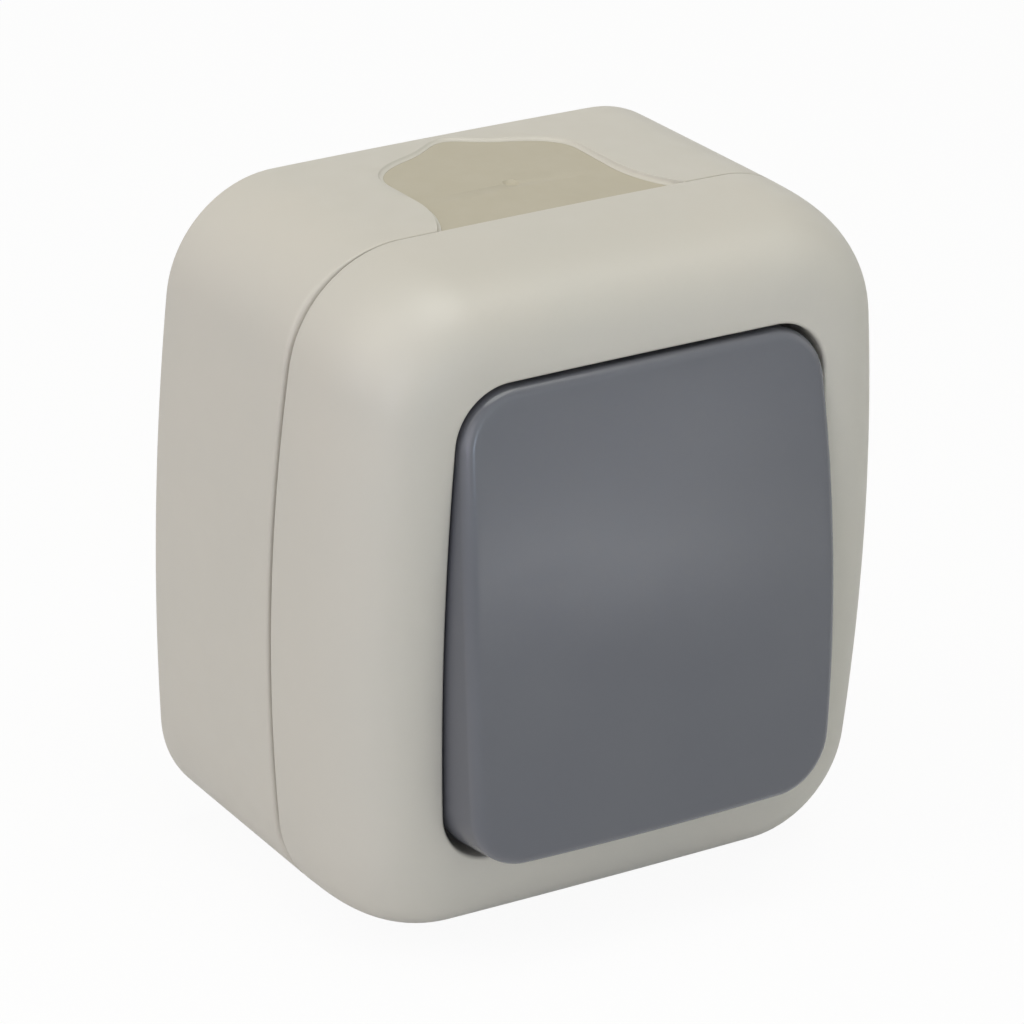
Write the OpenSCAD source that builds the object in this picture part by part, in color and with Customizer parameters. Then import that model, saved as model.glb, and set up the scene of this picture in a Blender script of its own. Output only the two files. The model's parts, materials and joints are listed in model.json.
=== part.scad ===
// Surface mounted rocker light switch: box, cover, rocker and the two-way mechanism inside.
// The back face lies on the plane y = 0, the front looks along -Y and +Z is up.
// Every piece is drawn lying on its back: local x to the right, local y up, local z out from the wall.

/* [Housing] */
// Width of the housing at the seam, across the bowed sides
housing_w = 66; // [62:0.5:74]
// Height of the housing at the seam
housing_h = 71.8; // [69:0.1:80]
// How much the box narrows towards the wall, on each side
side_draft = 0.7; // [0.3:0.05:1.5]
// How much the box lowers towards the wall, at top and bottom
end_draft = 0.65; // [0.3:0.05:1.5]
// Depth of the box, from the wall to the cover's back edge
seam_d = 24.4; // [22:0.1:28]
// Bow of the housing's left and right sides at the seam
side_bow = 3.1; // [1:0.1:4]
// Bow of the box's left and right sides at the wall
back_side_bow = 2; // [1:0.1:4]
// Bow of the housing's top and bottom sides
end_bow = 0.3; // [0.1:0.1:1.5]
// Corner radius of the housing at the seam
corner_r = 12.5; // [10:0.1:15]
// Corner radius of the box at the wall
back_corner_r = 12.3; // [10:0.1:15]
// Wall thickness of the box's sides
box_wall = 2.4; // [2:0.1:3]
// Thickness of the box's back
back_wall = 2.2; // [1.8:0.1:3]
// Softened edge of the box at the wall
back_edge = 0.5; // [0.2:0.1:1]
// Rounding where the box's back runs into its sides, inside
floor_fillet = 1.5; // [0.5:0.1:2.5]

/* [Seam] */
// Open reveal between box and cover
seam_gap = 0.7; // [0.4:0.1:1.2]
// Height of the box's tongue above the seam
tongue_h = 2; // [1.5:0.1:3]
// Thickness of the cover's rim around the tongue
rim_t = 1.1; // [0.9:0.1:1.5]
// Clearance between rim, tongue and gasket
rim_clear = 0.15; // [0.1:0.05:0.3]
// Thickness of the box gasket
gasket_t = 1; // [0.8:0.1:1.5]

/* [Cover] */
// Depth of the rocker's well, from the lip of the opening to its floor
well_d = 10.3; // [9.5:0.1:12]
// Straight part of the cover's side before its rounding starts
cover_straight = 1.3; // [0.5:0.1:4]
// Fullness of the cover's rounding, 2 for an ellipse
fullness = 2.67; // [2:0.01:3.5]
// Wall thickness of the cover
cover_wall = 2.2; // [1.6:0.1:2.6]
// How far the rocker opening reaches past the switch body, on each side
opening_over = 1.9; // [1.5:0.1:3]
// Corner radius of the rocker opening
opening_r = 6; // [5:0.1:8]
// Bow of the opening's left and right sides
opening_bow = 0.9; // [0.3:0.1:1.5]
// Bow of the opening's top and bottom sides
opening_end_bow = 0.1; // [0.05:0.05:0.5]
// Softened lip of the opening
lip_r = 0.4; // [0.2:0.1:0.8]
// Wall thickness of the rocker's well
well_wall = 1.6; // [1.2:0.1:2]
// Thickness of the well's floor
floor_t = 1.8; // [1.4:0.1:2.4]
// Gap between the bearing ears and the window in the well's floor
window_clear = 0.8; // [0.4:0.1:1.2]
// How far the well's floor reaches over the switch body, above and below the window
window_edge = 5.3; // [4:0.1:6]
// Corner radius of the window
window_r = 2; // [1:0.1:3]

/* [Rocker] */
// Gap between rocker and opening at the sides
side_gap = 0.6; // [0.4:0.05:0.9]
// Gap between rocker and opening at top and bottom, when level
end_gap = 0.8; // [0.8:0.05:1.2]
// How far the rocker's upper edge stands in front of the opening, when level
rocker_proud = 2.3; // [1.8:0.1:3.5]
// Crown of the rocker's face over its height
rocker_crown = 1.2; // [0.4:0.1:2]
// Crown of the rocker's face over its width
rocker_dome = 0.8; // [0.2:0.1:1.5]
// Bow of the rocker's left and right sides
rocker_bow = 1.3; // [0.3:0.1:1.8]
// Bow of the rocker's top and bottom sides
rocker_end_bow = 0.05; // [0.02:0.01:0.3]
// Corner radius of the rocker
rocker_r = 5.8; // [4.5:0.1:7]
// Rounded edge around the rocker's face
rocker_edge = 1.2; // [0.6:0.1:1.8]
// Wall thickness of the rocker
rocker_wall = 1.6; // [1.2:0.1:2]
// Clearance between the tilted rocker's skirt and the heads of the cover screws
skirt_clear = 1.15; // [0.5:0.05:2]
// Tilt of the rocker from level to either end
tilt = 6.6; // [4:0.1:7]
// Distance from the opening's lip back to the rocker's pivot
pivot_back = 1.8; // [1:0.1:3]

/* [Mechanism] */
// Height of the switch body
base_h = 32; // [28:0.5:35]
// Depth of the switch body
base_d = 17; // [16:0.1:20]
// Standoff of the switch body from the box's back
standoff = 4.8; // [3:0.1:6]
// Thickness of the switch body's floor under the contacts
base_floor = 2; // [1.5:0.1:3]
// Width of the contact chamber
chamber_w = 11; // [10:0.1:12]
// Wall above and below the contact chamber
chamber_wall = 2.5; // [2:0.1:3.5]
// Thickness of the mounting lugs
lug_t = 2.5; // [2:0.1:3.5]
// Gap between the mounting lugs and the box's side walls
lug_clear = 1.9; // [1:0.1:2.5]
// Wall left between the posts of the fixing screws and the switch body
lug_gap = 0.5; // [0.3:0.1:1]
// Thickness of the bearing frame
frame_t = 2.2; // [1.8:0.1:3]
// Width of a bearing ear, across the pivot
ear_w = 8; // [7:0.1:9]
// Thickness of a bearing ear
ear_t = 3; // [2.5:0.1:3]
// Distance of the bearing ears from the sides of the switch body
ear_inset = 4.5; // [4:0.1:5]
// Diameter of the pivot pins
pin_d = 3.2; // [2.8:0.1:3.4]
// Running clearance of pins and plunger, on the radius
run_clear = 0.08; // [0.05:0.01:0.1]
// Thickness of the flat mechanism seal
seal_t = 1.6; // [1.2:0.1:2.4]
// Seating clearance between pieces that are pressed or clipped together
seat = 0.1; // [0.05:0.05:0.2]

/* [Carrier] */
// Height of the carrier plate
carrier_h = 30; // [26:0.5:32]
// Thickness of the carrier plate
carrier_t = 3; // [2.4:0.1:3.4]
// Outer diameter of the carrier's nose
nose_d = 6.4; // [6:0.1:7]
// Diameter of the plunger
plunger_d = 3.6; // [3.2:0.1:4]
// Length of the plunger's straight shank
plunger_len = 7; // [6:0.1:8]
// Free travel of the plunger into the nose
plunger_travel = 0.8; // [0.5:0.1:1.2]
// Gap between plunger and contact arm with the rocker level
plunger_gap = 0.2; // [0.15:0.05:0.4]
// Wire diameter of the plunger spring
spring_wire = 0.45; // [0.3:0.05:0.6]
// Number of turns of the plunger spring
spring_turns = 6; // [4:1:8]
// Open length left in the plunger spring at full travel
spring_slack = 2.3; // [1:0.1:3]
// Gap between the carrier plate and the bearing ears
carrier_clear = 0.3; // [0.2:0.05:0.5]

/* [Contacts] */
// Height of the arm's rocking edge above the chamber's floor
arm_rise = 6; // [5.5:0.1:7]
// How far the contacts lie inwards from the middle of either half of the switch body
contact_inset = 0.5; // [0:0.1:1]
// Length of the contact arm beyond the contacts
arm_end = 2; // [1.8:0.1:2.5]
// Width of the contact arm
arm_w = 5; // [4:0.1:6]
// Thickness of the contact arm
arm_t = 1; // [0.8:0.1:1.4]
// Diameter of the silver tips
tip_d = 3.4; // [2.8:0.1:3.8]
// Thickness of the silver tips
tip_t = 0.9; // [0.6:0.1:1.2]
// Gap left between the tips of the closed contact
tip_gap = 0.3; // [0.3:0.05:0.5]
// Thickness of the contact strips
strip_t = 0.8; // [0.6:0.1:1]
// Width of the contact strips
strip_w = 5; // [4:0.1:5.2]

/* [Terminals] */
// Wall of the switch body beside the terminals
terminal_wall = 3.2; // [2.5:0.1:4]
// Width and height of a terminal block
terminal_s = 7.6; // [7:0.1:8]
// Depth of a terminal block
terminal_d = 7.4; // [7:0.1:8]
// Diameter of the wire bore
wire_bore = 3.4; // [2.8:0.1:3.8]
// Diameter of the clamping screws
clamp_d = 3.2; // [2.8:0.1:3.5]
// Head diameter of the clamping screws
clamp_head_d = 5.4; // [4.8:0.1:5.8]
// Head height of the clamping screws
clamp_head_h = 2; // [1.6:0.1:2.4]

/* [Screws] */
// Shank diameter of cover and fixing screws
screw_d = 3; // [2.5:0.1:3.2]
// Head diameter of cover and fixing screws
screw_head_d = 5.8; // [5.2:0.1:6.2]
// Head height of cover and fixing screws
screw_head_h = 2.2; // [1.8:0.1:2.6]
// Length of the cover screws below the head
cover_screw_len = 14; // [10:0.5:16]
// Distance of the cover screws from the sides of the rocker opening
screw_side = 5.8; // [5:0.1:7]
// Distance of the cover screws from the top and bottom of the rocker opening
screw_end = 5.8; // [5:0.1:7]
// Gap between the posts of the cover screws and the switch body
post_gap = 0.4; // [0.3:0.1:1.5]
// Outer diameter of the screw posts
post_d = 7; // [6.4:0.1:7.2]

/* [Wall fixing] */
// Distance of the wall screws from the top and bottom of the box
slot_end = 9.25; // [8.5:0.05:11]
// Width of the wall screw slots
slot_d = 4.2; // [3.5:0.1:4.6]
// Length of the wall screw slots
slot_len = 8; // [6:0.1:9]
// Diameter of the scored rear knock-out
knock_d = 20; // [16:0.5:25]

/* [Cable entry] */
// Radius of the round end of the cable entries
entry_r = 11.9; // [10:0.1:12.5]
// Depth of the entry's centre from the wall
entry_d = 13.2; // [12.6:0.1:15]
// How much the entry flares at the seam, on each side
entry_flare = 3; // [1:0.1:4]
// How far the seal's face lies below the box's surface at the wall
recess_back = 0.4; // [0.2:0.05:1]
// How far the seal's face lies below the box's surface at the seam
recess_seam = 1; // [0.4:0.05:1.4]
// Slope around the entry, beside the seal
entry_slope = 0.55; // [0.3:0.05:1.2]
// Width of the seal's inner flange
flange_w = 1.6; // [1:0.1:2.5]
// Thickness of the seal's inner flange
flange_t = 1.2; // [0.8:0.1:1.6]
// Diameter of the dimple where the cable pierces the seal
dimple_d = 3; // [2:0.1:6]
// How far the dimple lies in front of the entry's centre
dimple_shift = 1.8; // [0:0.1:3]
// Distance of the earth terminal from the box's side wall
earth_side = 6.1; // [4:0.1:8]
// Gap between the earth terminal and the switch body
earth_gap = 1.2; // [1:0.1:3]
// Height of the earth terminal's seat above the box's back
earth_rise = 1.8; // [1.2:0.1:3]
// Depth of the pocket that holds the earth terminal
earth_pocket = 1.5; // [1:0.1:2]

/* [Hidden] */

// Colours
WARM_GREY = [0.76, 0.74, 0.69];
SLATE = [0.40, 0.41, 0.44];
BEIGE = [0.69, 0.66, 0.57];
BLACK = [0.10, 0.10, 0.11];
IVORY = [0.86, 0.85, 0.80];
STEEL = [0.72, 0.73, 0.75];
BRASS = [0.80, 0.66, 0.36];
COPPER = [0.78, 0.50, 0.32];
SILVER = [0.88, 0.88, 0.90];

// A cut passes the faces that it opens by this much
past = 1;
$fn = 48;

// Points on each stretch of a quarter outline: side, corner, end
SIDE_POINTS = 3;
CORNER_POINTS = 7;
END_POINTS = 3;

// Sizes at the wall
back_w = housing_w - 2 * side_draft;
back_h = housing_h - 2 * end_draft;

// Places in the box, from its walls inwards
lug_x = back_w / 2 - box_wall - post_d / 2 - lug_clear;
base_w = 2 * (lug_x - post_d / 2 - lug_gap);
chamber_h = base_h - 2 * chamber_wall;
contact_y = base_h / 4 - contact_inset;
arm_len = 2 * (contact_y + arm_end);
terminal_x = base_w / 2 - terminal_s / 2 - terminal_wall;
cover_screw_y = base_h / 2 + post_d / 2 + post_gap;
opening_w = base_w + 2 * opening_over;
opening_h = 2 * (cover_screw_y + screw_end);
cover_screw_x = opening_w / 2 - screw_side;
ear_gap = base_w - 2 * (ear_inset + ear_t);
window_w = ear_gap + 2 * (ear_t + window_clear);
window_h = base_h - 2 * window_edge;
wall_pitch = back_h - 2 * slot_end;
earth_x = -(back_w / 2 - box_wall - terminal_s / 2 - earth_side);
earth_y = -(base_h / 2 + terminal_s / 2 + earth_gap);

// Depths from the wall, counted outwards
base_back_d = back_wall + standoff;
chamber_floor_d = base_back_d + base_floor;
base_front_d = base_back_d + base_d;
frame_front_d = base_front_d + frame_t;
floor_back_d = frame_front_d + seal_t + 2 * seat;
floor_front_d = floor_back_d + floor_t;
front_d = floor_front_d + well_d;
rim_d = seam_d - seam_gap;
pivot_d = front_d - pivot_back;
arm_pivot_d = chamber_floor_d + arm_rise;
arm_seat = 0.3;
arm_face_d = arm_pivot_d + arm_seat + arm_t;
fixed_face_d = arm_pivot_d - (tip_t - arm_seat) * cos(tilt)
             - (contact_y + tip_d / 2) * sin(tilt) - tip_gap;

// Rocker, level
rocker_w = opening_w - 2 * side_gap;
rocker_h = opening_h - 2 * end_gap;
rocker_edge_d = front_d + rocker_proud;
skirt_back_d = floor_front_d + screw_head_h + skirt_clear + rocker_h / 2 * sin(tilt);

// Carrier, level, with depths counted back from the pivot
plunger_r = plunger_d / 2;
tip_reach = pivot_d - arm_face_d - plunger_r - plunger_gap;
plunger_top = tip_reach - plunger_len;
nose_end = plunger_top + 0.7 * plunger_len;
spring_room = spring_turns * spring_wire + 2 * seat + plunger_travel + spring_slack;
bore_top = plunger_top - spring_room;
ear_x = ear_gap / 2;
carrier_w = ear_gap - 2 * carrier_clear;

// Radius of the arc that bows a side of this half length by this much
function bow_radius(half, bow) = (half * half + bow * bow) / (2 * bow);

// Middle of the corner arc that touches a bowed side and a bowed end
function corner_middle(side, end, side_r, end_r, r) =
    let (across = end - side,
         span = norm(across),
         e = across / span,
         along = ((side_r - r) ^ 2 - (end_r - r) ^ 2 + span ^ 2) / (2 * span),
         rise = sqrt((side_r - r) ^ 2 - along ^ 2))
    side + along * e + rise * [-e.y, e.x];

// First quarter of an outline with bowed sides: half width a, half height b
function quarter(a, b, r, bow, end_bow) =
    let (side_r = bow_radius(b, bow),
         end_r = bow_radius(a, end_bow),
         side = [a - side_r, 0],
         end = [0, b - end_r],
         mid = corner_middle(side, end, side_r, end_r, r),
         t1 = atan2(mid.y, mid.x - side.x),
         t2 = 90 - atan2(mid.x, mid.y - end.y))
    concat(
        [for (i = [0:SIDE_POINTS - 1])
            let (t = t1 * i / SIDE_POINTS) side + side_r * [cos(t), sin(t)]],
        [for (i = [0:CORNER_POINTS - 1])
            let (t = t1 + (t2 - t1) * i / CORNER_POINTS) mid + r * [cos(t), sin(t)]],
        [for (i = [0:END_POINTS - 1])
            let (t = t2 + (90 - t2) * i / END_POINTS) end + end_r * [cos(t), sin(t)]]);

// Whole outline, counter-clockwise from the middle of the right side
function outline(a, b, r, bow, end_bow) =
    let (q = quarter(a, b, r, bow, end_bow),
         n = len(q),
         half = concat(q, [[0, b]], [for (i = [n - 1:-1:1]) [-q[i].x, q[i].y]]))
    concat(half, -half);

function mix(p, q, w) = p * (1 - w) + q * w;
function at_depth(loop, d) = [for (p = loop) [p.x, p.y, d]];

// Outline of the box at a depth, moved inwards by inset
function box_loop(d, inset) =
    let (w = d / seam_d)
    outline(mix(back_w, housing_w, w) / 2 - inset, mix(back_h, housing_h, w) / 2 - inset,
            mix(back_corner_r, corner_r, w) - inset, mix(back_side_bow, side_bow, w), end_bow);

function opening_loop(grow) =
    outline(opening_w / 2 + grow, opening_h / 2 + grow, opening_r + grow, opening_bow,
            opening_end_bow);

function plain_loop(w, h, r) = outline(w / 2, h / 2, r, 0.02, 0.02);

// Band of triangles between loop i and loop j of n points each
function band(i, j, n) = [for (k = [0:n - 1])
    let (m = (k + 1) % n)
    each [[i * n + k, j * n + k, j * n + m], [i * n + k, j * n + m, i * n + m]]];

// Solid between flat end loops
module stack(loops) {
    n = len(loops[0]);
    last = len(loops) - 1;
    polyhedron(
        [for (l = loops) each l],
        concat([[for (k = [0:n - 1]) k]],
               [for (i = [0:last - 1]) each band(i, i + 1, n)],
               [[for (k = [n - 1:-1:0]) last * n + k]]),
        convexity = 8);
}

// Ring whose section runs once around through the loops
module ring(loops) {
    n = len(loops[0]);
    count = len(loops);
    polyhedron(
        [for (l = loops) each l],
        [for (i = [0:count - 1]) each band(i, (i + 1) % count, n)],
        convexity = 8);
}

// Turns a piece that lies on its back to face the room
module facing() {
    rotate([90, 0, 0]) children();
}

// Tilts a piece about the rocker's pivot, upper edge towards the wall
module tilted() {
    facing() translate([0, 0, pivot_d]) rotate([-tilt, 0, 0]) translate([0, 0, -pivot_d]) children();
}

// Box that is centred on x and y and runs from one depth to another
module block(w, h, from, to) {
    translate([-w / 2, -h / 2, from]) cube([w, h, to - from]);
}

module rod(d, from, to) {
    translate([0, 0, from]) cylinder(d = d, h = to - from);
}

// Pan head screw with a cross slot, its head seated at a depth
module screw(shank, head, head_h, seat_d, length) {
    difference() {
        union() {
            rod(shank, seat_d - length, seat_d + head_h / 2);
            rod(head, seat_d, seat_d + head_h);
        }
        for (turn = [0, 90])
            rotate([0, 0, turn]) block(0.6 * head, 0.8, seat_d + 0.5 * head_h, seat_d + head_h + past);
    }
}

// Positions of the pieces that come in sets
module at_cover_screws() {
    for (s = [-1, 1]) translate([-s * cover_screw_x, s * cover_screw_y, 0]) children();
}
module at_lugs() {
    for (s = [-1, 1]) translate([s * lug_x, 0, 0]) children();
}
module at_common() {
    translate([-terminal_x, contact_y, 0]) children();
}
module at_way(s) {
    translate([terminal_x, s * contact_y, 0]) children();
}
module at_terminals() {
    at_common() children();
    at_way(1) children();
    at_way(-1) children();
}

// Box
earth_floor_d = back_wall + earth_rise;
pilot_d = screw_d + 0.02;
post_top_d = floor_back_d - seat;

// Outline of a cable entry, seen from above: half width at a depth
function entry_half(d) =
    d < entry_d ? sqrt(max(0, entry_r ^ 2 - (entry_d - d) ^ 2))
                : entry_r + entry_flare * ((d - entry_d) / (seam_d - entry_d)) ^ 2;

ARC_STEPS = 12;
FLARE_STEPS = 5;

// The same outline as points, grown on all sides and ended at a depth
function entry_outline(grow, end_d) =
    let (right = concat(
            [for (i = [1:ARC_STEPS])
                let (t = 90 * i / ARC_STEPS, r = entry_r + grow) [r * sin(t), entry_d - r * cos(t)]],
            [for (i = [1:FLARE_STEPS])
                let (d = mix(entry_d, end_d, i / FLARE_STEPS)) [entry_half(d) + grow, d]]))
    concat([[0, entry_d - entry_r - grow]], right,
           [for (i = [len(right) - 1:-1:0]) [-right[i].x, right[i].y]]);

// Height of the box's top at a depth, and how far the seal's face is sunk below it
function top_face(d) = back_h / 2 + end_draft * d / seam_d;
function recess(d) = mix(recess_back, recess_seam, d / seam_d);

// Loop of an entry outline below the box's top or below the sunk face, with nothing behind from_d
function entry_loop(below, sunk, grow, end_d, from_d = 0) =
    [for (p = entry_outline(grow, end_d))
        let (d = max(p.y, from_d))
        [p.x, top_face(d) - sunk * recess(d) - below, d]];

module entry_cut() {
    deep = seam_d + tongue_h + past;
    stack([entry_loop(-past, 0, past, deep),
           entry_loop(0, 0, 0, deep),
           entry_loop(0, 1, -entry_slope, deep),
           entry_loop(box_wall + 2, 0, -entry_slope, deep)]);
}

module box_shell() {
    inner = box_wall;
    tongue_out = rim_t + rim_clear;
    stack([at_depth(box_loop(0, back_edge), 0),
           at_depth(box_loop(back_edge, 0), back_edge),
           at_depth(box_loop(seam_d / 2, 0), seam_d / 2),
           at_depth(box_loop(rim_d - 0.4, 0), rim_d - 0.4),
           at_depth(box_loop(rim_d, 0.4), rim_d),
           at_depth(box_loop(rim_d, tongue_out), rim_d),
           at_depth(box_loop(seam_d, tongue_out), seam_d + tongue_h),
           at_depth(box_loop(seam_d, inner), seam_d + tongue_h),
           at_depth(box_loop(seam_d / 2, inner), seam_d / 2),
           at_depth(box_loop(back_wall + floor_fillet, inner), back_wall + floor_fillet),
           at_depth(box_loop(back_wall, inner + floor_fillet), back_wall)]);
}

module back_box() {
    sunk = back_wall / 2;
    pocket = terminal_s + 2 * seat;
    color(WARM_GREY) facing() difference() {
        union() {
            box_shell();
            at_cover_screws() rod(post_d, sunk, post_top_d);
            at_lugs() rod(post_d, sunk, base_back_d - seat);
            for (s = [-1, 1]) translate([0, s * wall_pitch / 2, 0])
                rod(slot_len + 4, sunk, back_wall + 1);
            translate([earth_x, earth_y, 0]) block(pocket + 2, pocket + 2, sunk, earth_floor_d + earth_pocket);
        }
        entry_cut();
        mirror([0, 1, 0]) entry_cut();
        at_cover_screws() rod(pilot_d, post_top_d - cover_screw_len, post_top_d + past);
        at_lugs() rod(pilot_d, back_wall, base_back_d + past);
        for (s = [-1, 1]) translate([0, s * wall_pitch / 2, 0]) {
            for (e = [-1, 1]) translate([0, e * (slot_len - slot_d) / 2, 0])
                rod(slot_d, -past, back_wall + 1 + past);
            block(slot_d, slot_len - slot_d, -past, back_wall + 1 + past);
        }
        translate([earth_x, earth_y, 0])
            block(pocket, pocket, earth_floor_d, earth_floor_d + earth_pocket + past);
        difference() {
            rod(knock_d, -past, 0.8);
            rod(knock_d - 1.6, -2 * past, 0.8 + past);
        }
    }
}

// Cover
ROUND_STEPS = 9;
rebate_d = tongue_h + gasket_t + 2 * rim_clear;

// Loop k of a rounding that runs from one outline to another
function rounding(from, to, d0, d1, k) =
    let (t = 90 * k / ROUND_STEPS,
         w = 1 - cos(t) ^ (2 / fullness),
         d = d0 + (d1 - d0) * sin(t) ^ (2 / fullness))
    at_depth(mix(from, to, w), d);

module front_cover() {
    seam = box_loop(seam_d, 0);
    rim_in = box_loop(seam_d, rim_t);
    skin_in = box_loop(seam_d, cover_wall);
    lip = opening_loop(lip_r);
    opening = opening_loop(0);
    well = opening_loop(well_wall);
    window = plain_loop(window_w, window_h, window_r);
    start_d = seam_d + cover_straight;
    skin_d = front_d - cover_wall;
    color(WARM_GREY) facing() difference() {
        ring(concat(
            [at_depth(seam, seam_d)],
            [for (k = [0:ROUND_STEPS]) rounding(seam, lip, start_d, front_d, k)],
            [at_depth(mix(lip, opening, 0.7), front_d - 0.3 * lip_r),
             at_depth(opening, front_d - lip_r),
             at_depth(opening, floor_front_d),
             at_depth(window, floor_front_d),
             at_depth(window, floor_back_d),
             at_depth(well, floor_back_d)],
            [for (k = [ROUND_STEPS:-1:0]) rounding(skin_in, well, seam_d + rebate_d + 0.4, skin_d, k)],
            [at_depth(skin_in, seam_d + rebate_d),
             at_depth(rim_in, seam_d + rebate_d),
             at_depth(rim_in, seam_d)]));
        at_cover_screws() rod(screw_d + 0.4, floor_back_d - past, floor_front_d + past);
    }
}

module box_gasket() {
    from = seam_d + tongue_h + rim_clear;
    outer = box_loop(seam_d, rim_t + rim_clear);
    inner = box_loop(seam_d, cover_wall - rim_clear);
    color(BLACK) facing()
        ring([at_depth(outer, from), at_depth(outer, from + gasket_t),
              at_depth(inner, from + gasket_t), at_depth(inner, from)]);
}

// Cable entry seal for the top of the box
module entry_seal() {
    end_d = seam_d - rim_clear;
    flange_top = box_wall + rim_clear;
    flange_back_d = back_wall + floor_fillet + rim_clear;
    foot = -entry_slope - rim_clear;
    tab_t = flange_top + flange_t - rim_t - 2 * rim_clear;
    tab_back_d = end_d - 1;
    dimple_depth = entry_d + dimple_shift;
    dimple_y = top_face(dimple_depth) - recess(dimple_depth);
    facing() difference() {
        union() {
            stack([entry_loop(0, 1, foot, end_d),
                   entry_loop(flange_top + flange_t / 2, 0, foot, end_d)]);
            intersection() {
                stack([entry_loop(rim_t, 0, foot + flange_w, end_d, flange_back_d),
                       entry_loop(flange_top + flange_t, 0, foot + flange_w, end_d, flange_back_d)]);
                stack([at_depth(box_loop(flange_back_d, flange_top), flange_back_d - past),
                       at_depth(box_loop(end_d, flange_top), end_d + past)]);
            }
            translate([0, housing_h / 2 - rim_t - 2 * rim_clear - tab_t / 2, 0])
                block(2 * (entry_half(tab_back_d) + foot), tab_t, tab_back_d, seam_d + tongue_h);
        }
        translate([0, dimple_y, dimple_depth]) rotate([-90, 0, 0])
            translate([0, 0, -0.5]) cylinder(d1 = 0.4 * dimple_d, d2 = 1.4 * dimple_d, h = 1);
    }
}

module top_entry_seal() {
    color(BEIGE) entry_seal();
}
module bottom_entry_seal() {
    color(BEIGE) mirror([0, 0, 1]) entry_seal();
}

module cover_screws() {
    color(STEEL) facing() at_cover_screws()
        screw(screw_d, screw_head_d, screw_head_h, floor_front_d + 0.05, cover_screw_len);
}

// Switch body
slot_clear = 0.15;
hook_h = 1.7;
hook_d = base_front_d - 5.85;

// Slot for a strip, open to the front, between two corners
module strip_slot(x0, y0, x1, y1) {
    translate([x0 - slot_clear, y0 - slot_clear, chamber_floor_d])
        cube([x1 - x0 + 2 * slot_clear, y1 - y0 + 2 * slot_clear, base_d]);
}

module mechanism_base() {
    pocket = terminal_s + 2 * slot_clear;
    wire_d = chamber_floor_d + strip_t + wire_bore / 2 + 1.2;
    color(IVORY) facing() difference() {
        union() {
            block(base_w, base_h, base_back_d, base_front_d);
            block(2 * lug_x, post_d, base_back_d, base_back_d + lug_t);
            at_lugs() rod(post_d, base_back_d, base_back_d + lug_t);
        }
        block(chamber_w, chamber_h, chamber_floor_d, base_front_d + past);
        at_terminals() block(pocket, pocket, chamber_floor_d, base_front_d + past);
        strip_slot(-terminal_x - strip_w / 2, -strip_w / 2, 0, strip_w / 2);
        strip_slot(-terminal_x - strip_w / 2, 0, -terminal_x + strip_w / 2, contact_y);
        for (s = [-1, 1]) {
            strip_slot(0, s * contact_y - strip_w / 2, terminal_x, s * contact_y + strip_w / 2);
            translate([terminal_x, s * contact_y, wire_d]) rotate([-s * 90, 0, 0])
                cylinder(d = wire_bore + 0.8, h = base_h);
            translate([s * base_w / 2, 0, 0])
                block(1.2, ear_w + 2 * slot_clear, hook_d - slot_clear, hook_d + hook_h + slot_clear);
        }
        at_common() translate([0, 0, wire_d]) rotate([-90, 0, 0])
            cylinder(d = wire_bore + 0.8, h = base_h);
        at_lugs() rod(screw_d + 0.4, base_back_d - past, base_back_d + lug_t + past);
    }
}

module mechanism_screws() {
    color(STEEL) facing() at_lugs()
        screw(screw_d, screw_head_d, screw_head_h, base_back_d + lug_t + 0.05, lug_t + standoff - 0.5);
}

// Frame with the bearing ears and the two side clips
module bearing_frame() {
    ear_top = pivot_d + pin_d / 2 + 1;
    leg_x = base_w / 2 + slot_clear;
    leg_t = 1.4;
    color(IVORY) facing() difference() {
        union() {
            block(base_w, base_h, base_front_d, frame_front_d);
            block(2 * (leg_x + leg_t), ear_w, base_front_d, frame_front_d);
            for (s = [-1, 1]) {
                translate([s * (ear_x + ear_t / 2), 0, 0]) block(ear_t, ear_w, base_front_d, ear_top);
                translate([s * (leg_x + leg_t / 2), 0, 0]) block(leg_t, ear_w, hook_d, frame_front_d);
                translate([s * leg_x, 0, 0]) block(1, ear_w, hook_d, hook_d + hook_h);
            }
        }
        block(chamber_w, chamber_h, base_front_d - past, frame_front_d + past);
        at_terminals() rod(clamp_head_d + 0.8, base_front_d - past, frame_front_d + past);
        translate([0, 0, pivot_d]) rotate([0, 90, 0])
            cylinder(d = pin_d + 2 * run_clear, h = ear_gap + 2 * ear_t + 2 * past, center = true);
    }
}

module mechanism_seal() {
    from = frame_front_d + seat;
    inner = plain_loop(window_w + 1, window_h + 1, window_r);
    outer = plain_loop(base_w - 1.5, base_h - 2, window_r + 1);
    color(BLACK) facing()
        ring([at_depth(outer, from), at_depth(outer, from + seal_t),
              at_depth(inner, from + seal_t), at_depth(inner, from)]);
}

// Rocker carrier: plate, pins and the nose with its bore
module rocker_carrier() {
    plate_back = pivot_d - carrier_t / 2;
    pin_len = ear_gap + 2 * ear_t;
    color(IVORY) tilted() difference() {
        union() {
            block(carrier_w, carrier_h, plate_back, plate_back + carrier_t);
            translate([0, 0, pivot_d]) rotate([0, 90, 0]) cylinder(d = pin_d, h = pin_len, center = true);
            rod(nose_d, pivot_d - nose_end, pivot_d);
        }
        rod(plunger_d + 2 * run_clear, pivot_d - nose_end - past, pivot_d - bore_top);
    }
}

module plunger() {
    color(STEEL) tilted() union() {
        rod(plunger_d, pivot_d - tip_reach, pivot_d - plunger_top);
        translate([0, 0, pivot_d - tip_reach]) sphere(r = plunger_r);
    }
}

// Coil spring with a wire ring every few degrees
COIL_STEPS = 14;
WIRE_SIDES = 5;

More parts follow.
